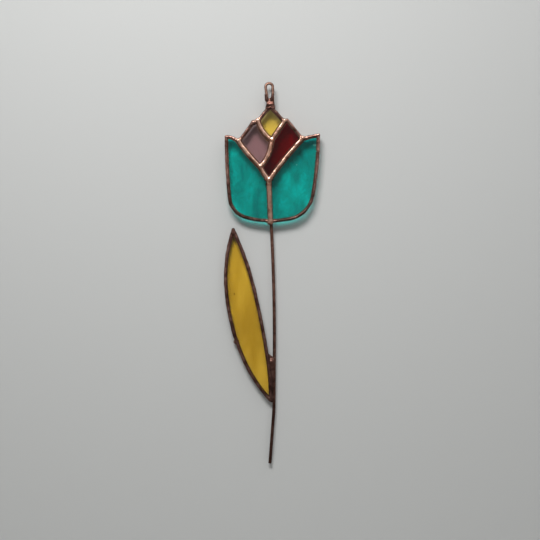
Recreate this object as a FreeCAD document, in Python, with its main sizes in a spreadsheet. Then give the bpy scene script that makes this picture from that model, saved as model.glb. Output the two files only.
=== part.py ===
import FreeCAD, Part
import math
import os
import Sketcher

# A tulip in stained glass, made to hang in a window.  Six panes are wrapped at the edge
# in copper foil and joined by solder beads; a wire stem runs down from the flower, a
# leaf is soldered to it, and a wire loop stands on the flower's top.
# X runs to the viewer's right and Z up, and the front faces -Y.  The origin is where a
# hook bears, at the inner top of the loop.

os.makedirs("parts", exist_ok=True)
doc = FreeCAD.newDocument("GlassTulip")
sheet = doc.addObject("Spreadsheet::Sheet", "Sizes")

# Sizes in millimetres
SIZES = {
    "flower_width": 46.85,
    "flower_height": 57.85,
    "apex_drop": 10.65,
    "leaf_width": 23.25,
    "leaf_length": 87.7,
    "leaf_tip_clearance": 2.8,
    "stem_tail": 30.6,
    "glass_thickness": 3.0,
    "foil_width": 5.56,
    "foil_thickness": 0.04,
    "seam_gap": 0.2,
    "foil_reveal": 0.2,
    "seam_crown": 0.9,
    "centre_bead_width": 3.0,
    "rim_crown": 0.5,
    "rim_overhang": 0.45,
    "stem_wire_diameter": 1.6,
    "loop_wire_diameter": 1.4,
    "loop_inner_width": 2.15,
    "loop_foot_clearance": 0.5,
    "loop_foot_spacing": 2.4,
    "loop_solder_rise": 3.8,
    "loop_solder_sink": 1.2,
    "loop_solder_top_width": 3.0,
    "loop_solder_top_depth": 1.3,
    "loop_solder_waist_width": 4.1,
    "loop_solder_waist_depth": 2.1,
    "loop_solder_base_width": 5.2,
    "loop_solder_base_depth": 4.4,
    "leaf_solder_thickness": 2.0,
    "leaf_solder_slope": 3.2,
    "cut_overrun": 2.0,
}

# Corners and bows of the flower's lines: across its width from the hanging line, and
# down its height from the apex
FLOWER_SHARES = {
    "apex": (0.0144, 0.0),
    "left_kink": (-0.1201, 0.1271),
    "mauve_corner": (-0.1809, 0.14),
    "left_notch": (-0.3303, 0.3008),
    "left_tip": (-0.4658, 0.261),
    "left_side_end": (-0.4328, 0.7978),
    "left_bottom": (-0.2577, 0.9689),
    "foot": (0.0133, 1.0),
    "right_bottom": (0.2279, 0.9827),
    "right_side_end": (0.4744, 0.777),
    "right_tip": (0.5342, 0.2446),
    "right_notch": (0.3591, 0.2792),
    "red_corner": (0.1937, 0.1132),
    "right_kink": (0.1649, 0.1314),
    "amber_foot": (0.0272, 0.2956),
    "mauve_foot": (-0.0945, 0.529),
    "fork": (-0.0027, 0.6422),
    "stem_top": (-0.0007, 0.6732),
    "amber_left_bow": (-0.0614, 0.0579),
    "amber_right_bow": (0.0912, 0.0622),
    "left_shoulder_bow": (-0.3933, 0.2671),
    "left_side_bow": (-0.4584, 0.5264),
    "right_side_bow": (0.5213, 0.4918),
    "right_shoulder_bow": (0.4509, 0.2567),
    "amber_mauve_bow": (-0.0667, 0.2221),
    "mauve_red_bow": (-0.0101, 0.4201),
    "left_upper_bow": (-0.2193, 0.4192),
    "left_lower_bow": (-0.0528, 0.5877),
    "right_arm_bow": (0.1692, 0.4546),
}

# Corners and bows of the leaf: across its width from its foot, and up its length
LEAF_SHARES = {
    "leaf_foot": (0.0, 0.0),
    "leaf_tip": (-0.8194, 1.0),
    "leaf_left_mid": (-1.0, 0.6676),
    "leaf_left_low": (-0.6301, 0.2537),
    "leaf_right_mid": (-0.3333, 0.6317),
    "leaf_right_low": (-0.0452, 0.2309),
    "leaf_left_bow": (-0.972, 0.8381),
    "leaf_right_bow": (-0.5398, 0.8187),
}

# Places along the stem: across and down from the flower's foot, as shares of its drop
STEM_SHARES = {
    "stem_neck": (0.0044, 0.0297),
    "stem_middle": (0.0163, 0.5541),
    "stem_lower": (0.0149, 0.7523),
    "stem_bend": (0.0128, 0.8018),
    "stem_end": (0.0, 1.0),
}

# The flat of a bead's crown as a share of its width, a knob's size as a share of the bead
# that it ends, and the heights of the loop solder's waist and of the leaf solder's top
OTHER_SHARES = {
    "shoulder_share": 0.5,
    "knob_share": 1.1,
    "waist_share": 0.4,
    "leaf_solder_top_share": 0.29,
}

ORIGIN = FreeCAD.Vector(0, 0, 0)
LENGTHWISE = FreeCAD.Vector(1, 0, 0)
QUARTER_TURN = 90
FULL_TURN = 360
FRONT = FreeCAD.Rotation(LENGTHWISE, QUARTER_TURN)
SIDE = FreeCAD.Rotation(FreeCAD.Vector(0, 1, 0), FreeCAD.Vector(0, 0, 1), LENGTHWISE)

# Half the thickness of a foiled pane, and the foil's lap over the glass
HALF_PANE = "(Sizes.glass_thickness / 2 + Sizes.foil_thickness)"
LAP = "(Sizes.foil_width / 2 - Sizes.glass_thickness / 2 - Sizes.foil_thickness)"
HALF_GAP = "Sizes.seam_gap / 2"
GLASS_INSET = HALF_GAP + " + Sizes.foil_thickness"
WINDOW_INSET = GLASS_INSET + " + " + LAP
SEAM_HALF = "(" + WINDOW_INSET + " - Sizes.foil_reveal)"
RIM_HALF = "((Sizes.foil_thickness + " + LAP + " - Sizes.foil_reveal + Sizes.rim_overhang) / 2)"
RIM_INSET = WINDOW_INSET + " - Sizes.foil_reveal - " + RIM_HALF
STEM_DROP = "(Sizes.leaf_tip_clearance + Sizes.leaf_length + Sizes.stem_tail)"
STEM_DEPTH = "(" + HALF_PANE + " + Sizes.seam_crown)"
STEM_RADIUS = "Sizes.stem_wire_diameter / 2"
LOOP_RADIUS = "(Sizes.loop_inner_width / 2 + Sizes.loop_wire_diameter / 2)"
LOOP_CENTRE = "-Sizes.loop_inner_width / 2"
CENTRE_LINE = "0 * Sizes.seam_gap"
LOOP_FOOT = "-(Sizes.apex_drop - Sizes.loop_foot_clearance)"


def fill_sheet():
    rows = list(SIZES.items()) + list(OTHER_SHARES.items())
    for table, second in ((FLOWER_SHARES, "down"), (LEAF_SHARES, "up"), (STEM_SHARES, "down")):
        for point, (across, along) in table.items():
            rows.append((point + "_across_share", across))
            rows.append((point + "_" + second + "_share", along))
    for row, (name, value) in enumerate(rows, start=1):
        cell = "A" + str(row)
        sheet.set(cell, str(value))
        sheet.setAlias(cell, name)
    doc.recompute()


def value(expression):
    number = sheet.evalExpression(expression.replace("Sizes.", ""))
    return float(getattr(number, "Value", number))


def place_of(point):
    """The expressions for a named point's X and Z."""
    if point in OTHER_PLACES:
        return OTHER_PLACES[point]()
    if point in FLOWER_SHARES:
        across = "Sizes.flower_width * Sizes." + point + "_across_share"
        up = "-Sizes.apex_drop - Sizes.flower_height * Sizes." + point + "_down_share"
        return across, up
    if point in STEM_SHARES:
        foot_x, foot_z = place_of("foot")
        across = foot_x + " + " + STEM_DROP + " * Sizes." + point + "_across_share"
        up = foot_z + " - " + STEM_DROP + " * Sizes." + point + "_down_share"
        return across, up
    beside = place_of("stem_bend")[0] + " - " + STEM_RADIUS + " - Sizes.rim_overhang + " + HALF_GAP
    across = beside + " + Sizes.leaf_width * Sizes." + point + "_across_share"
    tip_z = place_of("foot")[1] + " - Sizes.leaf_tip_clearance"
    up = tip_z + " - Sizes.leaf_length * (1 - Sizes." + point + "_up_share)"
    return across, up


def beside_apex(side):
    return place_of("apex")[0] + side + "Sizes.loop_foot_spacing / 2", LOOP_FOOT


def leaf_solder_place(corner):
    """The corners of the solder that fills the wedge between the leaf and the stem."""
    foot_x, foot_z = place_of("leaf_foot")
    top_z = foot_z + " + Sizes.leaf_length * Sizes.leaf_solder_top_share"
    if corner == "leaf":
        return place_of("leaf_right_low")[0] + " - " + WINDOW_INSET.replace("+", "-"), top_z
    if corner == "stem":
        return place_of("stem_middle")[0], top_z + " - Sizes.leaf_solder_slope"
    return place_of("stem_bend")[0], foot_z


OTHER_PLACES = {
    "loop_left": lambda: ("-" + LOOP_RADIUS, LOOP_CENTRE),
    "loop_right": lambda: (LOOP_RADIUS, LOOP_CENTRE),
    "loop_left_foot": lambda: beside_apex(" - "),
    "loop_right_foot": lambda: beside_apex(" + "),
    "leaf_solder_leaf": lambda: leaf_solder_place("leaf"),
    "leaf_solder_stem": lambda: leaf_solder_place("stem"),
    "leaf_solder_foot": lambda: leaf_solder_place("foot"),
}


def spot(point):
    across, up = place_of(point)
    return FreeCAD.Vector(value(across), value(up), 0)


def in_space(point):
    flat = spot(point)
    return FreeCAD.Vector(flat.x, 0, flat.y)


def tangent_middle(start, end, heading):
    """The middle of the arc that leaves start along heading and reaches end."""
    chord = end.sub(start)
    half = chord.Length / 2
    turn = heading.getAngle(chord)
    side = FreeCAD.Vector(chord.y, -chord.x, 0).normalize()
    if side.dot(heading) < 0:
        side = side.negative()
    return start.add(end).multiply(1 / 2).add(side.multiply(half * math.tan(turn / 2)))


def heading_at_end(start, middle, end):
    """The direction in which an arc through three points arrives."""
    first = middle.sub(start)
    second = end.sub(middle)
    turn = math.atan2(first.x * second.y - first.y * second.x, first.dot(second))
    return FreeCAD.Rotation(FreeCAD.Vector(0, 0, 1), math.degrees(turn / 2)).multVec(second)


def name_constraint(sketch, index, name, expression):
    sketch.renameConstraint(index, name)
    sketch.setExpression("Constraints." + name, expression)


def pin_point(sketch, geometry, end, name, across, up):
    index = sketch.addConstraint(Sketcher.Constraint("DistanceX", -1, 1, geometry, end, value(across)))
    name_constraint(sketch, index, name + "_x", across)
    index = sketch.addConstraint(Sketcher.Constraint("DistanceY", -1, 1, geometry, end, value(up)))
    name_constraint(sketch, index, name + "_z", up)


def line_drawing(name, runs, depth=None):
    """A sketch of lines and arcs.  A run is start, bow, end: the bow is a point that the
    arc passes, None for a straight line, "smooth" for an arc that leaves tangent to what
    is already drawn there, or "straight on" for a line that does."""
    sketch = doc.addObject("Sketcher::SketchObject", name)
    sketch.Placement = FreeCAD.Placement(ORIGIN, FRONT)
    if depth:
        sketch.setExpression("Placement.Base.y", depth)
    drawn = {}
    for start, bow, end in runs:
        a, b = spot(start), spot(end)
        if bow in (None, "straight on"):
            geometry = sketch.addGeometry(Part.LineSegment(a, b))
            first, last = 1, 2
            leaving, arriving = a.sub(b), b.sub(a)
        else:
            middle = tangent_middle(a, b, drawn[start][2]) if bow == "smooth" else spot(bow)
            geometry = sketch.addGeometry(Part.Arc(a, middle, b))
            reach = [sketch.getPoint(geometry, pos).distanceToPoint(a) for pos in (1, 2)]
            first, last = (1, 2) if reach[0] < reach[1] else (2, 1)
            leaving, arriving = heading_at_end(b, middle, a), heading_at_end(a, middle, b)
            if bow != "smooth":
                mark = sketch.addGeometry(Part.Point(middle), True)
                pin_point(sketch, mark, 1, bow, *place_of(bow))
                sketch.addConstraint(Sketcher.Constraint("PointOnObject", mark, 1, geometry))
        if start not in drawn:
            pin_point(sketch, geometry, first, start, *place_of(start))
        else:
            kind = "Tangent" if bow in ("smooth", "straight on") else "Coincident"
            sketch.addConstraint(Sketcher.Constraint(kind, *drawn[start][:2], geometry, first))
        if end in drawn:
            sketch.addConstraint(Sketcher.Constraint("Coincident", *drawn[end][:2], geometry, last))
        elif bow == "straight on":
            up = place_of(end)[1]
            index = sketch.addConstraint(Sketcher.Constraint("DistanceY", -1, 1, geometry, last, value(up)))
            name_constraint(sketch, index, end + "_z", up)
        else:
            pin_point(sketch, geometry, last, end, *place_of(end))
        drawn[start] = (geometry, first, leaving)
        drawn[end] = (geometry, last, arriving)
    doc.recompute()
    return sketch


def inset(name, outline, amount):
    offset = doc.addObject("Part::Offset2D", name)
    offset.Source = outline
    offset.Join = "Arc"
    offset.Value = -value(amount)
    offset.setExpression("Value", "-(" + amount + ")")
    return offset


def slab(name, face, thickness):
    solid = doc.addObject("Part::Extrusion", name)
    solid.Base = face
    solid.DirMode = "Normal"
    solid.Solid = True
    solid.Symmetric = True
    solid.setExpression("LengthFwd", thickness)
    return solid


def cut(name, base, *tools):
    """The base less each tool in turn; the last cut carries the name."""
    for number, tool in enumerate(tools, start=1):
        last = number == len(tools)
        result = doc.addObject("Part::Cut", name if last else name + "_less_" + str(number))
        result.Base = base
        result.Tool = tool
        base = result
    return base


def fuse(name, pieces):
    if len(pieces) == 1:
        return pieces[0]
    joined = doc.addObject("Part::MultiFuse", name)
    joined.Shapes = pieces
    return joined


def make_pane(name, outline):
    """A pane of glass, its foil and the block that both fill together."""
    block = slab(name + "_block", inset(name + "_block_edge", outline, HALF_GAP), HALF_PANE + " * 2")
    glass_edge = inset(name + "_glass_edge", outline, GLASS_INSET)
    glass = slab("glass_" + name, glass_edge, "Sizes.glass_thickness")
    window_edge = inset(name + "_window_edge", outline, WINDOW_INSET)
    window = slab(name + "_window", window_edge, HALF_PANE + " * 2 + Sizes.cut_overrun")
    foil = cut("foil_" + name, block, window, glass)
    doc.recompute()
    return block, glass, foil


def nearest_edge(carrier, start, end):
    """The name of the carrier's edge that runs between two named points."""
    a, b = in_space(start), in_space(end)
    a.y = b.y = carrier.Shape.BoundBox.Center.y
    miss = []
    for index, edge in enumerate(carrier.Shape.Edges, start=1):
        c, d = edge.Vertexes[0].Point, edge.Vertexes[-1].Point
        straight = c.distanceToPoint(a) + d.distanceToPoint(b)
        crossed = c.distanceToPoint(b) + d.distanceToPoint(a)
        miss.append((min(straight, crossed), "Edge" + str(index)))
    return min(miss)[1]


def nearest_vertex(carrier, point):
    place = in_space(point)
    place.y = carrier.Shape.BoundBox.Center.y
    miss = [(vertex.Point.distanceToPoint(place), "Vertex" + str(index))
            for index, vertex in enumerate(carrier.Shape.Vertexes, start=1)]
    return min(miss)[1]


def section(name, corners):
    """A closed sketch through corners, each a name and the expressions for its X and Y."""
    sketch = doc.addObject("Sketcher::SketchObject", name)
    spots = [FreeCAD.Vector(value(x), value(y), 0) for corner, x, y in corners]
    for number, (corner, x, y) in enumerate(corners):
        sketch.addGeometry(Part.LineSegment(spots[number - 1], spots[number]))
        pin_point(sketch, number, 2, corner, x, y)
        if number:
            sketch.addConstraint(Sketcher.Constraint("Coincident", number - 1, 2, number, 1))
    sketch.addConstraint(Sketcher.Constraint("Coincident", number, 2, 0, 1))
    return sketch


def bead_section(name, half_width, crown):
    """Across a bead: straight flanks beside the panes, and a crown on each face.  The
    sketch's X runs through the thickness and its Y across the bead."""
    half = "(" + half_width + ")"
    shoulder = half + " * Sizes.shoulder_share"
    top = "(" + HALF_PANE + " + " + crown + ")"
    return section(name, (
        ("front_low", HALF_PANE, "-" + half),
        ("front_low_shoulder", top, "-" + shoulder),
        ("front_high_shoulder", top, shoulder),
        ("front_high", HALF_PANE, half),
        ("back_high", "-" + HALF_PANE, half),
        ("back_high_shoulder", "-" + top, shoulder),
        ("back_low_shoulder", "-" + top, "-" + shoulder),
        ("back_low", "-" + HALF_PANE, "-" + half),
    ))


def knob(name, carrier, point, half_width, crown):
    """A round knob of solder at a corner of the carrier, of the same section as the bead."""
    half = "(" + half_width + ") * Sizes.knob_share"
    shoulder = half + " * Sizes.shoulder_share"
    top = "(" + HALF_PANE + " + " + crown + " * Sizes.knob_share)"
    sketch = section(name + "_section", (
        ("front_crest", CENTRE_LINE, top),
        ("back_crest", CENTRE_LINE, "-" + top),
        ("back_shoulder", shoulder, "-" + top),
        ("back_edge", half, "-" + HALF_PANE),
        ("front_edge", half, HALF_PANE),
        ("front_shoulder", shoulder, top),
    ))
    sketch.AttachmentSupport = [(carrier, nearest_vertex(carrier, point))]
    sketch.MapMode = "Translate"
    doc.recompute()
    turned = doc.addObject("Part::Revolution", name)
    turned.Source = sketch
    turned.AxisLink = (sketch, ["Edge2"])
    turned.Angle = FULL_TURN
    turned.Solid = True
    return turned


def sweep(name, profile, carrier, edges):
    profile.AttachmentSupport = [(carrier, edges[0])]
    profile.MapMode = "NormalToEdge"
    swept = doc.addObject("Part::Sweep", name)
    swept.Sections = [profile]
    swept.Spine = (carrier, edges)
    swept.Solid = True
    return swept


def bead(name, carrier, chains, knobs, half_width, crown):
    """Solder along smooth chains of the carrier's edges, with knobs at its corners."""
    pieces = []
    for number, points in enumerate(chains, start=1):
        edges = [nearest_edge(carrier, a, b) for a, b in zip(points, points[1:])]
        profile = bead_section(name + "_profile_" + str(number), half_width, crown)
        pieces.append(sweep(name + "_run_" + str(number), profile, carrier, edges))
    for point in knobs:
        pieces.append(knob(name + "_knob_" + point, carrier, point, half_width, crown))
    return fuse(name + "_whole", pieces)


OUTLINES = {
    "amber": (
        ("apex", "amber_right_bow", "right_kink"),
        ("right_kink", None, "amber_foot"),
        ("amber_foot", "amber_mauve_bow", "left_kink"),
        ("left_kink", "amber_left_bow", "apex"),
    ),
    "mauve": (
        ("left_kink", "amber_mauve_bow", "amber_foot"),
        ("amber_foot", "mauve_red_bow", "mauve_foot"),
        ("mauve_foot", "left_upper_bow", "left_notch"),
        ("left_notch", None, "mauve_corner"),
        ("mauve_corner", None, "left_kink"),
    ),
    "red": (
        ("right_kink", None, "red_corner"),
        ("red_corner", None, "right_notch"),
        ("right_notch", "right_arm_bow", "fork"),
        ("fork", "left_lower_bow", "mauve_foot"),
        ("mauve_foot", "mauve_red_bow", "amber_foot"),
        ("amber_foot", None, "right_kink"),
    ),
    "left_petal": (
        ("left_notch", "left_shoulder_bow", "left_tip"),
        ("left_tip", "left_side_bow", "left_side_end"),
        ("left_side_end", "smooth", "left_bottom"),
        ("left_bottom", "smooth", "foot"),
        ("foot", None, "fork"),
        ("fork", "left_lower_bow", "mauve_foot"),
        ("mauve_foot", "left_upper_bow", "left_notch"),
    ),
    "right_petal": (
        ("right_notch", "right_shoulder_bow", "right_tip"),
        ("right_tip", "right_side_bow", "right_side_end"),
        ("right_side_end", "smooth", "right_bottom"),
        ("right_bottom", "smooth", "foot"),
        ("foot", None, "fork"),
        ("fork", "right_arm_bow", "right_notch"),
    ),
}

LEAF_OUTLINE = (
    ("leaf_tip", "leaf_left_bow", "leaf_left_mid"),
    ("leaf_left_mid", "smooth", "leaf_left_low"),
    ("leaf_left_low", "smooth", "leaf_foot"),
    ("leaf_tip", "leaf_right_bow", "leaf_right_mid"),
    ("leaf_right_mid", "smooth", "leaf_right_low"),
    ("leaf_right_low", "smooth", "leaf_foot"),
)

STEM_LINE = (
    ("stem_top", None, "stem_neck"),
    ("stem_neck", "smooth", "stem_middle"),
    ("stem_middle", "straight on", "stem_lower"),
    ("stem_lower", "smooth", "stem_bend"),
    ("stem_bend", "straight on", "stem_end"),
)

LEAF_SOLDER_OUTLINE = (
    ("leaf_solder_leaf", None, "leaf_solder_stem"),
    ("leaf_solder_stem", None, "leaf_solder_foot"),
    ("leaf_solder_foot", None, "leaf_foot"),
    ("leaf_foot", None, "leaf_solder_leaf"),
)

# Inner beads, in the order in which each gives way to those before it: the pane whose
# outline carries it, its run, its knobs, the panes that it touches and the beads it meets
SEAMS = {
    "seam_centre": ("left_petal", ("foot", "fork"), ("foot", "fork"),
                    ("left_petal", "right_petal", "red"), ()),
    "seam_left_lower": ("red", ("mauve_foot", "fork"), ("mauve_foot",),
                        ("left_petal", "right_petal", "mauve", "red"), ("seam_centre",)),
    "seam_right_arm": ("red", ("right_notch", "fork"), ("right_notch",),
                       ("red", "right_petal", "left_petal"), ("seam_centre", "seam_left_lower")),
    "seam_left_upper": ("mauve", ("left_notch", "mauve_foot"), ("left_notch",),
                        ("left_petal", "mauve", "red"), ("seam_left_lower",)),
    "seam_mauve_red": ("mauve", ("amber_foot", "mauve_foot"), ("amber_foot",),
                       ("amber", "mauve", "red", "left_petal"), ("seam_left_lower", "seam_left_upper")),
    "seam_amber_mauve": ("amber", ("left_kink", "amber_foot"), ("left_kink",),
                         ("amber", "mauve", "red"), ("seam_mauve_red",)),
    "seam_amber_red": ("amber", ("right_kink", "amber_foot"), ("right_kink",),
                       ("amber", "red", "mauve"), ("seam_mauve_red", "seam_amber_mauve")),
}

# Beads round the rim: the pane, its smooth chains, its knobs, the panes and beads it meets
RIMS = {
    "rim_left_petal": ("left_petal",
                       (("left_notch", "left_tip"), ("left_tip", "left_side_end", "left_bottom", "foot")),
                       ("left_tip",), ("left_petal", "mauve"), ("seam_left_upper", "seam_centre")),
    "rim_right_petal": ("right_petal",
                        (("right_notch", "right_tip"), ("right_tip", "right_side_end", "right_bottom", "foot")),
                        ("right_tip",), ("right_petal", "red"), ("seam_right_arm", "seam_centre", "rim_left_petal")),
    "rim_mauve": ("mauve", (("left_notch", "mauve_corner"), ("mauve_corner", "left_kink")), ("mauve_corner",),
                  ("mauve", "left_petal", "amber"), ("seam_left_upper", "seam_amber_mauve", "rim_left_petal")),
    "rim_red": ("red", (("right_kink", "red_corner"), ("red_corner", "right_notch")), ("red_corner",),
                ("red", "right_petal", "amber"), ("seam_right_arm", "seam_amber_red", "rim_right_petal")),
    "rim_amber": ("amber", (("apex", "left_kink"), ("apex", "right_kink")), ("apex",),
                  ("amber", "mauve", "red"), ("seam_amber_mauve", "seam_amber_red", "rim_mauve", "rim_red")),
}


def make_wire(name, drawing, points, diameter):
    """Round wire bent along the drawing."""
    edges = [nearest_edge(drawing, a, b) for a, b in zip(points, points[1:])]
    section = doc.addObject("Sketcher::SketchObject", name + "_section")
    circle = Part.Circle(ORIGIN, FreeCAD.Vector(0, 0, 1), value(diameter) / 2)
    geometry = section.addGeometry(circle)
    section.addConstraint(Sketcher.Constraint("Coincident", geometry, 3, -1, 1))
    index = section.addConstraint(Sketcher.Constraint("Diameter", geometry, value(diameter)))
    name_constraint(section, index, "wire", diameter)
    return sweep(name, section, drawing, edges)


def loop_drawing():
    """A half turn whose ends run straight on, down to the two feet."""
    sketch = doc.addObject("Sketcher::SketchObject", "loop_line")
    sketch.Placement = FreeCAD.Placement(ORIGIN, FRONT)
    centre = FreeCAD.Vector(0, value(LOOP_CENTRE), 0)
    circle = Part.Circle(centre, FreeCAD.Vector(0, 0, 1), value(LOOP_RADIUS))
    turn = sketch.addGeometry(Part.ArcOfCircle(circle, 0, math.pi))
    pin_point(sketch, turn, 3, "loop_centre", CENTRE_LINE, LOOP_CENTRE)
    index = sketch.addConstraint(Sketcher.Constraint("Radius", turn, value(LOOP_RADIUS)))
    name_constraint(sketch, index, "loop_radius", LOOP_RADIUS)
    for pos, top in ((1, "loop_right"), (2, "loop_left")):
        foot = top + "_foot"
        leg = sketch.addGeometry(Part.LineSegment(spot(top), spot(foot)))
        pin_point(sketch, leg, 2, foot, *place_of(foot))
        sketch.addConstraint(Sketcher.Constraint("Tangent", turn, pos, leg, 1))
    doc.recompute()
    return sketch


def loop_solder_side(across, through, turned):
    """The loop solder's outline as it is seen from one side, drawn through the solder."""
    size = "Sizes.loop_solder_{}_" + across + " / 2"
    base, waist, top = (size.format(level) for level in ("base", "waist", "top"))
    height = "(Sizes.loop_solder_rise + Sizes.loop_solder_sink)"
    outline = section("loop_solder_" + across + "_outline", (
        ("base_low", "-" + base, CENTRE_LINE),
        ("base_high", base, CENTRE_LINE),
        ("waist_high", waist, height + " * Sizes.waist_share"),
        ("top_high", top, height),
        ("top_low", "-" + top, height),
        ("waist_low", "-" + waist, height + " * Sizes.waist_share"),
    ))
    outline.Placement = FreeCAD.Placement(ORIGIN, turned)
    outline.setExpression("Placement.Base.x", place_of("apex")[0])
    outline.setExpression("Placement.Base.z", "-Sizes.apex_drop - Sizes.loop_solder_sink")
    thickness = "Sizes.loop_solder_base_" + through + " + Sizes.cut_overrun"
    return slab("loop_solder_" + across, outline, thickness)


def make_loop_solder(*tools):
    """Solder drawn up between the loop's legs, thick where it meets the apex."""
    crossed = doc.addObject("Part::Common", "loop_solder_whole")
    crossed.Base = loop_solder_side("width", "depth", FRONT)
    crossed.Tool = loop_solder_side("depth", "width", SIDE)
    return cut("loop_solder", crossed, *tools)


def make_flower(nodes, stem, loop):
    outlines = {name: line_drawing(name + "_outline", runs) for name, runs in OUTLINES.items()}
    blocks = {}
    for name, outline in outlines.items():
        blocks[name], glass, foil = make_pane(name, outline)
        nodes += [glass, foil]
    beads = {}
    for name, (carrier, run, knobs, panes, met) in SEAMS.items():
        half = "Sizes.centre_bead_width / 2" if name == "seam_centre" else SEAM_HALF
        whole = bead(name, outlines[carrier], (run,), knobs, half, "Sizes.seam_crown")
        tools = [blocks[pane] for pane in panes] + [beads[other] for other in met]
        if name == "seam_centre":
            tools.append(stem)
        beads[name] = cut(name, whole, *tools)
        doc.recompute()
    for name, (carrier, chains, knobs, panes, met) in RIMS.items():
        line = inset(name + "_line", outlines[carrier], RIM_INSET)
        doc.recompute()
        whole = bead(name, line, chains, knobs, RIM_HALF, "Sizes.rim_crown")
        tools = [blocks[pane] for pane in panes] + [beads[other] for other in met]
        tools.append(loop if name == "rim_amber" else stem)
        beads[name] = cut(name, whole, *tools)
        doc.recompute()
    nodes += beads.values()
    nodes.append(make_loop_solder(blocks["amber"], beads["rim_amber"], loop))


def make_leaf(nodes, stem):
    outline = line_drawing("leaf_outline", LEAF_OUTLINE, STEM_DEPTH)
    block, glass, foil = make_pane("leaf", outline)
    line = inset("rim_leaf_line", outline, RIM_INSET)
    doc.recompute()
    sides = (("leaf_tip", "leaf_left_mid", "leaf_left_low", "leaf_foot"),
             ("leaf_tip", "leaf_right_mid", "leaf_right_low", "leaf_foot"))
    whole = bead("rim_leaf", line, sides, ("leaf_tip", "leaf_foot"), RIM_HALF, "Sizes.rim_crown")
    rim = cut("rim_leaf", whole, block, stem)
    wedge = line_drawing("leaf_solder_outline", LEAF_SOLDER_OUTLINE, STEM_DEPTH)
    fill = slab("leaf_solder_whole", wedge, "Sizes.leaf_solder_thickness")
    nodes += [glass, foil, rim, cut("leaf_solder", fill, block, rim, stem)]


def write_parts(nodes):
    doc.recompute()
    for item in doc.Objects:
        faulty = [state for state in item.State if state in ("Invalid", "Error")]
        if faulty:
            raise RuntimeError(item.Label + " is " + faulty[0])
    for node in nodes:
        shape = node.Shape
        if shape.isNull() or not shape.isValid() or not shape.Solids:
            raise RuntimeError(node.Label + " has no valid solid")
        print(node.Label, len(shape.Solids), "solids", round(shape.Volume, 3), "mm3")
        shape.exportStep("parts/" + node.Label + ".step")


fill_sheet()
stem_line = line_drawing("stem_line", STEM_LINE, STEM_DEPTH)
stem_points = ("stem_top", "stem_neck", "stem_middle", "stem_lower", "stem_bend", "stem_end")
stem_wire = make_wire("stem_wire", stem_line, stem_points, "Sizes.stem_wire_diameter")
loop_line = loop_drawing()
loop_points = ("loop_left_foot", "loop_left", "loop_right", "loop_right_foot")
hanging_loop = make_wire("hanging_loop", loop_line, loop_points, "Sizes.loop_wire_diameter")
doc.recompute()
built = [stem_wire, hanging_loop]
make_flower(built, stem_wire, hanging_loop)
make_leaf(built, stem_wire)
write_parts(built)
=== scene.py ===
"""The looks of a hanging tulip of stained glass, on the frame that the CAD solids give.

The panes, the foils, the stem and the loop keep their CAD meshes and get materials. The
solder is remade as two melted, lumpy runs, one in the flower and one round the leaf."""
import math

import bmesh
import bpy
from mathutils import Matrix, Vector, noise
from mathutils.bvhtree import BVHTree


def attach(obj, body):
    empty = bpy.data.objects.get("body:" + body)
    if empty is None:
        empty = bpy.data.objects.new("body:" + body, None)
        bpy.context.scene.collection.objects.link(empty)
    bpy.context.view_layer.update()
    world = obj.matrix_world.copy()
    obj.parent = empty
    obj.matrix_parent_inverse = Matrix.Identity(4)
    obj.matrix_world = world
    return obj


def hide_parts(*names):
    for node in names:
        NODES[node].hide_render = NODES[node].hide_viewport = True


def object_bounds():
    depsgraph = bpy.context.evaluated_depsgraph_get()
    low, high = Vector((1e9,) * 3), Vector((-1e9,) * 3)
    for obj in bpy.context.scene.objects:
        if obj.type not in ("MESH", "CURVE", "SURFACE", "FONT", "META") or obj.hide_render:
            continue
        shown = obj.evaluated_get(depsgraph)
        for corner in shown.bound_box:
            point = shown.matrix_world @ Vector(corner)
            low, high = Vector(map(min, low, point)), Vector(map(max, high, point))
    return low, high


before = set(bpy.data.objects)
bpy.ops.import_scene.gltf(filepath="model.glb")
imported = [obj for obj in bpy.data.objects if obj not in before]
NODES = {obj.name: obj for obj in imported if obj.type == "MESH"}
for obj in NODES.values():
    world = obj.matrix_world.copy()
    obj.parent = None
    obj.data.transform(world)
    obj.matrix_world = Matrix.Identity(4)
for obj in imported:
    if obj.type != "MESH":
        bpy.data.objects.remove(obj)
cad_low, cad_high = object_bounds()

# Lengths are in metres. X runs to the right, Z up, and the front faces -Y.
MM = 0.001
LEAF_DEPTH = 2.44 * MM  # Y of the middle of the leaf's pane; the flower's is at 0
WALL_DEPTH = 4.75 * MM  # Y of the wall, just behind the stem

# Solder
WELD = 0.004 * MM
SWELLING = 0.06 * MM  # how far the CAD solids grow before they are melted together
VOXEL = 0.2 * MM
SMOOTHINGS = 12
LUMP_HEIGHT, LUMPS_PER_METRE = 0.16 * MM, 300
RIPPLE_HEIGHT, RIPPLES_PER_METRE = 0.01 * MM, 1100
SEAMS = [
    "seam_centre", "seam_left_lower", "seam_right_arm", "seam_left_upper", "seam_mauve_red",
    "seam_amber_mauve", "seam_amber_red",
]
PANES = ["glass_left_petal", "glass_right_petal", "glass_mauve", "glass_red", "glass_amber"]
RIMS = ["rim_left_petal", "rim_right_petal", "rim_mauve", "rim_red", "rim_amber", "loop_solder"]

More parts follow.
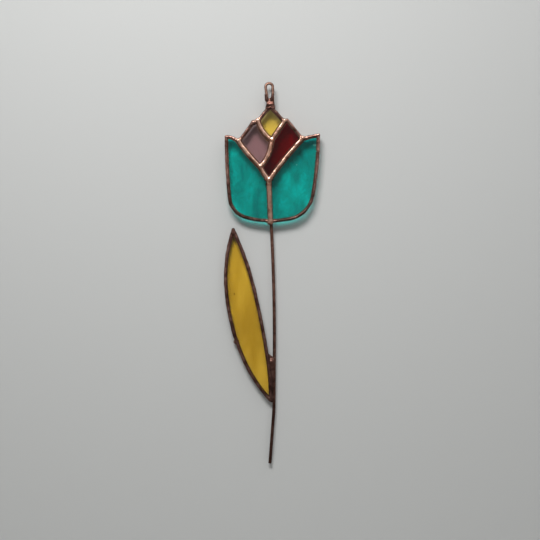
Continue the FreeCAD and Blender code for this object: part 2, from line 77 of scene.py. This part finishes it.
# Where the solder pooled: X, Z and radius, and how far a pool stands to each side, in
# millimetres
POOLS = [
    (-1.6, -46.8, 1.35), (-0.3, -47.9, 1.7), (1.2, -46.8, 1.35), (-0.5, -49.9, 1.5),
    (-1.0, -47.4, 1.45), (0.5, -47.4, 1.45), (1.1, -27.2, 1.3), (0.5, -26.9, 1.1),
    (1.7, -27.0, 1.2), (-4.4, -41.0, 1.3), (-5.1, -40.2, 1.1), (-15.0, -27.9, 1.6),
    (15.9, -27.1, 1.7), (-7.7, -18.9, 1.5), (7.0, -18.9, 1.4), (0.4, -65.3, 1.5),
]
POOL_HALF = 2.35
LOOP_POOLS = [
    (side * (2.4 - radius), height, radius)
    for height, radius in ((-5.0, 0.72), (-5.7, 0.8), (-6.4, 0.9), (-7.0, 1.0), (-7.6, 1.12))
    for side in (-1, 1)
]
LOOP_POOL_HALF = 1.1
LEAF_POOLS = [(-16.5, -128.6, 1.5), (0.9, -138.8, 2.2), (-18.3, -74.6, 1.3), (0.9, -157.0, 1.3)]
LEAF_POOL_HALF = 1.85

# Stage, camera and background
WALL_COLOUR, FLOOR_COLOUR = (0.635, 0.642, 0.63), (0.64, 0.64, 0.63)
REACH, FLOOR = 1.1, -0.32  # how far wall and floor reach, and the floor's Z
SKY, SKY_SEEN, SKY_LIGHT = (0.82, 0.83, 0.84, 1), 0.48, 0.12
FLOOR_EVENNESS = 0.6
VIEW_WIDTH = 270 * MM
VIEW_CENTRE = Vector((0.425 * MM, 0, -92.6 * MM))
VIEW_DISTANCE = 600 * MM
SENSOR_WIDTH = 36


def link_object(name, data):
    piece = bpy.data.objects.new(name, data)
    bpy.context.collection.objects.link(piece)
    return piece


# Materials

def new_material(name):
    material = bpy.data.materials.new(name)
    material.use_nodes = True
    tree = material.node_tree
    return material, tree, tree.nodes["Principled BSDF"], tree.nodes["Material Output"]


def add(tree, kind, inputs=None, **settings):
    """A new node. An input is a value, or another node's output that is linked to it."""
    node = tree.nodes.new("ShaderNode" + kind)
    for key, value in settings.items():
        setattr(node, key, value)
    for key, value in (inputs or {}).items():
        if isinstance(value, bpy.types.NodeSocket):
            tree.links.new(value, node.inputs[key])
        else:
            node.inputs[key].default_value = value
    return node


def clouds(tree, scale, detail=3.0, distortion=0.0, stretch=(1, 1, 1), turn=(0, 0, 0)):
    """Noise over the object's own coordinates; scale is in features per metre."""
    place = add(tree, "TexCoord").outputs["Object"]
    mapped = add(tree, "Mapping", {"Vector": place, "Scale": stretch, "Rotation": turn})
    texture = add(tree, "TexNoise", {
        "Vector": mapped.outputs[0], "Scale": scale, "Detail": detail, "Distortion": distortion,
    })
    return texture.outputs["Fac"]


def ramp(tree, factor, stops):
    node = add(tree, "ValToRGB", {"Fac": factor})
    elements = node.color_ramp.elements
    while len(elements) < len(stops):
        elements.new(0.5)
    for element, (position, colour) in zip(elements, stops):
        element.position = position
        element.color = (*colour, 1)
    return node.outputs["Color"]


def mix(tree, factor, first, second):
    node = add(tree, "Mix", data_type="RGBA")
    # Sockets 0, 6 and 7 are the factor and the two colours
    for number, value in ((0, factor), (6, first), (7, second)):
        socket = node.inputs[number]
        if isinstance(value, bpy.types.NodeSocket):
            tree.links.new(value, socket)
        elif isinstance(value, tuple):
            socket.default_value = (*value, 1)
        else:
            socket.default_value = value
    return node.outputs[2]


def spread(tree, factor, low, high, to_low, to_high):
    return add(tree, "MapRange", {
        "Value": factor, "From Min": low, "From Max": high, "To Min": to_low, "To Max": to_high,
    }).outputs[0]


def bump(tree, height, distance, strength=1.0, under=None):
    inputs = {"Height": height, "Distance": distance, "Strength": strength}
    if under is not None:
        inputs["Normal"] = under
    return add(tree, "Bump", inputs).outputs[0]


def glass(name, stops, scale, distortion, stretch, turn, wave_height, roughness):
    """Swirled, coloured glass. Light also passes it on its way to the wall, and takes the
    pane's colour in two equal steps, one at each face."""
    material, tree, shader, output = new_material(name)
    broad = clouds(tree, scale, 1, distortion, stretch, turn)
    wisps = clouds(tree, scale * 2.6, 1.5, distortion * 1.5, stretch, turn)
    swirl = mix(tree, 0.3, broad, wisps)
    colour = ramp(tree, swirl, stops)
    tree.links.new(colour, shader.inputs["Base Color"])
    shader.inputs["Transmission Weight"].default_value = 1
    shader.inputs["Roughness"].default_value = roughness
    shader.inputs["IOR"].default_value = 1.34
    shader.inputs["Specular IOR Level"].default_value = 0.08
    tree.links.new(bump(tree, swirl, wave_height), shader.inputs["Normal"])
    once = add(tree, "Gamma", {"Color": colour, "Gamma": 0.5})
    clear = add(tree, "BsdfTransparent", {"Color": once.outputs[0]})
    shadow = add(tree, "LightPath").outputs["Is Shadow Ray"]
    both = add(tree, "MixShader", {0: shadow, 1: shader.outputs[0], 2: clear.outputs[0]})
    tree.links.new(both.outputs[0], output.inputs["Surface"])
    return material


def patina(name, seam, rim, roughness):
    """Copper patina over solder or wire. seam and rim are (bright, middle, dark) colours,
    blended by the piece's "rim" attribute. One attribute rubs it bright on a crest, with a
    painted highlight where it faces up; another blackens it, mostly as painted shade; toward
    the stem's foot it is darker. A mesh without these attributes has 0 for them."""
    material, tree, shader, _ = new_material(name)
    blotches = clouds(tree, 240, 4, 0.6)
    tones = [ramp(tree, blotches, list(zip((0.34, 0.5, 0.66), colours[::-1])))
             for colours in (seam, rim)]
    edge, wear_and_highlight, dark_tone_and_shade = (add(tree, "Attribute", attribute_name=key).outputs["Fac"]
                        for key in ("rim", "wear_and_highlight", "dark_tone_and_shade"))
    black = tuple(c * 0.3 for c in rim[2])
    colour = mix(tree, edge, *tones)
    # Bright copper on rubbed crests, and a painted highlight where they face up
    colour = mix(tree, wear_and_highlight, colour, (1.0, 0.69, 0.54))
    specks = clouds(tree, 1300, 3)
    colour = mix(tree, spread(tree, specks, 0.54, 0.72, 0, 0.55), colour, rim[2])
    # Blackened mostly by painted shade: at the bead's foot, on its underside and low in the
    # flower
    colour = mix(tree, dark_tone_and_shade, colour, black)
    height = add(tree, "SeparateXYZ", {0: add(tree, "TexCoord").outputs["Object"]}).outputs["Z"]
    colour = mix(tree, spread(tree, height, -95 * MM, -185 * MM, 0, 0.75), colour, black)
    tree.links.new(colour, shader.inputs["Base Color"])
    shader.inputs["Metallic"].default_value = 1
    dull = spread(tree, blotches, 0.3, 0.7, roughness + 0.1, roughness - 0.04)
    polished = add(tree, "Math", {0: wear_and_highlight, 1: -0.05, 2: dull}, operation="MULTIPLY_ADD")
    tree.links.new(polished.outputs[0], shader.inputs["Roughness"])
    fine = bump(tree, clouds(tree, 3000, 4), 0.015 * MM, 0.4)
    coarse = bump(tree, clouds(tree, 700, 3, 0.4), 0.018 * MM, 0.6, fine)
    tree.links.new(coarse, shader.inputs["Normal"])
    return material


def paint(node, material):
    """The CAD node keeps its mesh and gets the material in its own slot."""
    NODES[node].data.materials.clear()
    NODES[node].data.materials.append(material)


TEAL = glass(
    "teal_glass",
    [(0.34, (0.0005, 0.325, 0.3)), (0.5, (0.0005, 0.485, 0.448)), (0.66, (0.002, 0.71, 0.655))],
    62, 2.6, (1, 1, 0.7), (0, 0.5, 0), 0.6 * MM, 0.03)
MAUVE = glass(
    "mauve_glass", [(0.35, (0.435, 0.305, 0.312)), (0.65, (0.505, 0.368, 0.378))],
    70, 0.8, (1, 1, 0.6), (0, 0.4, 0), 0.2 * MM, 0.05)
RED = glass(
    "red_glass", [(0.35, (0.21, 0.003, 0.008)), (0.65, (0.37, 0.006, 0.014))],
    60, 0.8, (1, 1, 0.6), (0, -0.5, 0), 0.2 * MM, 0.04)
AMBER = glass(
    "amber_glass", [(0.38, (0.76, 0.61, 0.19)), (0.62, (0.8, 0.67, 0.27))],
    120, 1.2, (1, 1, 0.5), (0, 0.7, 0), 0.2 * MM, 0.05)
LEAF = glass(
    "leaf_glass", [(0.35, (0.61, 0.455, 0.1)), (0.65, (0.8, 0.63, 0.185))],
    60, 1, (1, 1, 0.3), (0, 0.25, 0), 0.25 * MM, 0.06)
for pane, material in (("left_petal", TEAL), ("right_petal", TEAL), ("mauve", MAUVE),
                       ("red", RED), ("amber", AMBER), ("leaf", LEAF)):
    paint("glass_" + pane, material)

BUBBLE, bubble_tree, bubble_shader, _ = new_material("bubble")
bubble_colour = ramp(bubble_tree, clouds(bubble_tree, 2500),
                     [(0.4, (0.2, 0.7, 0.65)), (0.6, (0.5, 0.95, 0.9))])
bubble_tree.links.new(bubble_colour, bubble_shader.inputs["Base Color"])
bubble_shader.inputs["Roughness"].default_value = 0.08
bubble_shader.inputs["Transmission Weight"].default_value = 0.4

# Bright, middle and dark colours of the copper patina
BRIGHT = ((0.93, 0.575, 0.425), (0.53, 0.262, 0.174), (0.19, 0.084, 0.054))
DULL = ((0.5, 0.285, 0.228), (0.26, 0.128, 0.104), (0.083, 0.037, 0.027))
BROWN = ((0.25, 0.128, 0.096), (0.163, 0.078, 0.057), (0.075, 0.033, 0.024))
DARK = ((0.2, 0.1, 0.07), (0.12, 0.06, 0.042), (0.06, 0.027, 0.018))
WIRE = ((0.4, 0.235, 0.18), (0.27, 0.15, 0.11), (0.13, 0.065, 0.045))
SOLDER = patina("patina_solder", BRIGHT, DULL, 0.23)
LEAF_METAL = patina("patina_leaf_solder", DULL, DULL, 0.38)
FOIL = patina("dark_foil", DARK, DARK, 0.35)
STEM = patina("stem_copper", BROWN, BROWN, 0.36)
LOOP = patina("loop_copper", WIRE, BROWN, 0.36)
for node in NODES:
    if node.startswith("foil_"):
        paint(node, FOIL)
paint("stem_wire", STEM)
paint("hanging_loop", LOOP)


# Solder

def share(value, start, end):
    """How far value is on the way from start to end, held between 0 and 1."""
    return min(max((value - start) / (end - start), 0), 1)


def surface_of(nodes):
    form = bmesh.new()
    for node in nodes:
        form.from_mesh(NODES[node].data)
    return form


def finder(nodes):
    """A tree that finds the nearest place on these nodes."""
    form = surface_of(nodes)
    tree = BVHTree.FromBMesh(form)
    form.free()
    return tree


def pool(form, x, z, radius, half, depth):
    """A flattened drop of solder, as deep as half to each side of the pane's middle."""
    drop = bmesh.ops.create_uvsphere(form, u_segments=20, v_segments=14, radius=radius * MM)
    for vertex in drop["verts"]:
        vertex.co.y *= half / radius
        vertex.co += Vector((x * MM, depth, z * MM))


def keep_outer_shell(mesh):
    """The remesh leaves a few closed bubbles inside the solder, and they go."""
    form = bmesh.new()
    form.from_mesh(mesh)
    shells, reached = [], set()
    for start in form.verts:
        if start in reached:
            continue
        reached.add(start)
        shell = [start]
        for vertex in shell:
            for edge in vertex.link_edges:
                other = edge.other_vert(vertex)
                if other not in reached:
                    reached.add(other)
                    shell.append(other)
        shells.append(shell)
    shells.sort(key=len)
    for shell in shells[:-1]:
        bmesh.ops.delete(form, geom=shell, context="VERTS")
    form.to_mesh(mesh)
    form.free()


def melt(piece):
    """One skin over the joined solids and pools, with their edges rounded off."""
    remesh = piece.modifiers.new("melt", "REMESH")
    remesh.mode = "VOXEL"
    remesh.voxel_size = VOXEL
    smooth = piece.modifiers.new("smooth", "SMOOTH")
    smooth.factor = 0.5
    smooth.iterations = SMOOTHINGS
    graph = bpy.context.evaluated_depsgraph_get()
    melted = bpy.data.meshes.new_from_object(piece.evaluated_get(graph))
    piece.modifiers.clear()
    keep_outer_shell(melted)
    piece.data = melted
    return melted


def painted_light_and_wear(place, normal, off, rim, in_flower):
    """Painted shade, a darker tone and a rubbed crest at a place that is off away from the
    panes. The bead is darkened by its dark edge and by painted shade where it meets the
    glass, and by painted shade on its underside, low in the flower and most on its low rims;
    it is darker in tone at the loop's foot. Its crest is rubbed bright, with a painted
    highlight where it faces up."""
    # Its dark edge, and painted shade in the crease where the bead meets the glass
    foot = 0.92 * (1 - share(off, 0.14 * MM, 0.5 * MM))
    # Painted shade on the bead's underside
    under = 0.75 * share(-normal.z, 0.125, 0.75)
    # Painted shade low in the flower, and most on its low rims
    low = 0.3 * share(-place.z, 50 * MM, 56 * MM)
    low_rim_shade = 0.85 * rim * share(-place.z, 56 * MM, 63 * MM) if in_flower else 0
    dark = share(place.z, -15.5 * MM, -13 * MM) if in_flower else 0.8
    crest = min(share(off, 0.42 * MM, 0.78 * MM), share(-off, -1.7 * MM, -1.2 * MM))
    # A painted highlight on the crest where it faces up
    upward = share(normal.z, -0.0667, 0.4889)
    dark_tone_and_shade = max(foot, under, low_rim_shade, low, 0.62 * dark)
    return dark_tone_and_shade, crest * upward * (1 - 0.55 * rim) * (1 - dark)


def solder(name, seams, rims, panes, pools, depth, material):
    """One run of solder that stands for several CAD nodes: their solids joined, melted
    together and made lumpy, with the lumps mostly where the bead stands off the glass."""
    form = surface_of(seams + rims)
    bmesh.ops.remove_doubles(form, verts=form.verts, dist=WELD)
    bmesh.ops.recalc_face_normals(form, faces=form.faces)
    form.normal_update()
    for vertex in form.verts:
        vertex.co += vertex.normal * SWELLING
    for drop in pools:
        pool(form, *drop, depth)
    mesh = bpy.data.meshes.new(name + "_rough")
    form.to_mesh(mesh)
    form.free()
    piece = link_object(name, mesh)
    melted = melt(piece)

    # All places and normals are read before any is written: a normal that is read after a
    # write is worked out anew for the whole mesh
    places = [vertex.co.copy() for vertex in melted.vertices]
    normals = [vertex.normal.copy() for vertex in melted.vertices]
    near_seam, near_rim, near_pane = finder(seams), finder(rims), finder(panes)
    shaped, marks = [], {"rim": [], "dark_tone_and_shade": [], "wear_and_highlight": []}
    for place, normal in zip(places, normals):
        to_seam, to_rim, off = (tree.find_nearest(place)[3]
                                for tree in (near_seam, near_rim, near_pane))
        lump = (noise.fractal(place * LUMPS_PER_METRE, 0.9, 2.2, 2) - 0.25) * LUMP_HEIGHT
        ripple = noise.noise(place * RIPPLES_PER_METRE) * RIPPLE_HEIGHT
        lumpy = place + normal * (lump + ripple) * (0.35 + 0.65 * share(off, 0, 0.5 * MM))
        shaped.extend(min(max(c, low), high) for c, low, high in zip(lumpy, cad_low, cad_high))
        rim = share(to_seam - to_rim, -1.2 * MM, 1.2 * MM)
        # Painted shade and a darker tone, and rubbed crests with a painted highlight, for the
        # patina
        dark_tone_and_shade, wear_and_highlight = painted_light_and_wear(place, normal, off, rim, depth == 0)
        for key, value in (("rim", rim), ("dark_tone_and_shade", dark_tone_and_shade), ("wear_and_highlight", wear_and_highlight)):
            marks[key].append(value)
    melted.vertices.foreach_set("co", shaped)
    for key, values in marks.items():
        melted.attributes.new(key, "FLOAT", "POINT").data.foreach_set("value", values)
    melted.shade_smooth()
    melted.materials.clear()
    melted.materials.append(material)
    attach(piece, "root")
    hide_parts(*(seams + rims))


flower_pools = [(*drop, POOL_HALF) for drop in POOLS]
flower_pools += [(*drop, LOOP_POOL_HALF) for drop in LOOP_POOLS]
solder("flower_solder", SEAMS, RIMS, PANES, flower_pools, 0, SOLDER)
leaf_pools = [(*drop, LEAF_POOL_HALF) for drop in LEAF_POOLS]
solder("leaf_solder_run", ["leaf_solder"], ["rim_leaf"], ["glass_leaf"], leaf_pools, LEAF_DEPTH,
       LEAF_METAL)


# Small faults in the glass, with places and radii in millimetres

def fault(name, material, form):
    mesh = bpy.data.meshes.new(name)
    form.to_mesh(mesh)
    form.free()
    mesh.shade_smooth()
    mesh.materials.append(material)
    piece = link_object(name, mesh)
    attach(piece, "root")


def drop_at(place, radius, flat):
    form = bmesh.new()
    ball = bmesh.ops.create_uvsphere(form, u_segments=20, v_segments=12, radius=radius * MM)
    for vertex in ball["verts"]:
        vertex.co.y *= flat
        vertex.co += Vector(place) * MM
    return form


def ring_at(place, radius, thickness, flat, turns=28, sides=10):
    """A ring that faces the front, lower than it is wide by flat."""
    form = bmesh.new()
    rows = []
    for i in range(turns):
        a = 2 * math.pi * i / turns
        row = []
        for j in range(sides):
            b = 2 * math.pi * j / sides
            out = radius + thickness * math.cos(b)
            spot = Vector((out * math.cos(a), thickness * math.sin(b), out * math.sin(a) * flat))
            row.append(form.verts.new((spot + Vector(place)) * MM))
        rows.append(row)
    for here, there in zip(rows, rows[1:] + rows[:1]):
        for j in range(sides):
            k = (j + 1) % sides
            form.faces.new((here[j], there[j], there[k], here[k]))
    bmesh.ops.recalc_face_normals(form, faces=form.faces)
    return form


fault("bubble_ring", BUBBLE, ring_at((22.6, -1.5, -30.3), 0.5, 0.11, 0.8))
fault("bubble", BUBBLE, drop_at((13.7, -1.5, -40.1), 0.22, 0.7))
fault("leaf_speck", FOIL, drop_at((-17.4, 0.94, -104.6), 0.34, 0.4))


# Stage, camera and light

def sheet(name, corners, material):
    mesh = bpy.data.meshes.new(name)
    mesh.from_pydata(corners, [], [(0, 1, 2, 3)])
    mesh.materials.append(material)
    link_object(name, mesh)


def seen_rays(tree):
    """1 for the rays that show the background: the camera's, and those off metal or through
    glass."""
    rays = add(tree, "LightPath")
    seen = rays.outputs["Is Camera Ray"]
    for kind in ("Is Glossy Ray", "Is Transmission Ray"):
        seen = add(tree, "Math", {0: seen, 1: rays.outputs[kind]}, operation="MAXIMUM").outputs[0]
    return seen


def pale(name, colour):
    material, tree, shader, output = new_material(name)
    shader.inputs["Base Color"].default_value = (*colour, 1)
    shader.inputs["Roughness"].default_value = 0.75
    return material, tree, shader.outputs[0], output.inputs["Surface"]


def blend_in(tree, factor, first, second, surface):
    both = add(tree, "MixShader", {0: factor, 1: first, 2: second})
    tree.links.new(both.outputs[0], surface)


def wall_material():
    """Pale in front and see-through from behind, so that views from the back show the
    object."""
    material, tree, front, surface = pale("pale_wall", WALL_COLOUR)
    behind = add(tree, "NewGeometry").outputs["Backfacing"]
    blend_in(tree, behind, front, add(tree, "BsdfTransparent").outputs[0], surface)
    return material


def floor_material():
    """Pale, and partly as even as the sky, because the lamps leave its far part dark."""
    material, tree, lit, surface = pale("pale_floor", FLOOR_COLOUR)
    evenness = spread(tree, seen_rays(tree), 0, 1, 0, FLOOR_EVENNESS)
    even = add(tree, "Emission", {"Color": SKY, "Strength": SKY_SEEN}).outputs[0]
    blend_in(tree, evenness, lit, even, surface)
    return material


def lamp(name, place, aim, size, watts):
    data = bpy.data.lights.new(name, "AREA")
    data.shape = "RECTANGLE"
    data.size, data.size_y = size
    data.energy = watts
    light = link_object(name, data)
    light.location = place
    light.rotation_euler = (Vector(aim) - Vector(place)).to_track_quat("-Z", "Y").to_euler()


sheet("wall", [(-REACH, WALL_DEPTH, FLOOR), (REACH, WALL_DEPTH, FLOOR),
               (REACH, WALL_DEPTH, REACH), (-REACH, WALL_DEPTH, REACH)], wall_material())
sheet("floor", [(-REACH, -REACH, FLOOR), (REACH, -REACH, FLOOR),
                (REACH, REACH, FLOOR), (-REACH, REACH, FLOOR)], floor_material())

camera = link_object("camera", bpy.data.cameras.new("camera"))
camera.location = VIEW_CENTRE + Vector((0, -VIEW_DISTANCE, 0))
camera.rotation_euler = (math.pi / 2, 0, 0)
camera.data.sensor_width = SENSOR_WIDTH
camera.data.lens = SENSOR_WIDTH * VIEW_DISTANCE / VIEW_WIDTH
camera.data.clip_start = 0.01
bpy.context.scene.camera = camera

lamp("key", (-0.08, -0.4, 0.24), (0, 0, -0.05), (0.24, 0.12), 1.85)
lamp("sky", (0.3, -0.4, 0.58), (0, 0, -0.03), (1.5, 0.45), 1.3)
lamp("fill", (0.6, -0.8, 0.4), VIEW_CENTRE, (0.6, 0.6), 0.6)

world = bpy.data.worlds.new("world")
bpy.context.scene.world = world
world.use_nodes = True
sky = world.node_tree
back = sky.nodes["Background"]
back.inputs["Color"].default_value = SKY
sky.links.new(spread(sky, seen_rays(sky), 0, 1, SKY_LIGHT, SKY_SEEN), back.inputs["Strength"])

bpy.context.scene.view_settings.view_transform = "Standard"
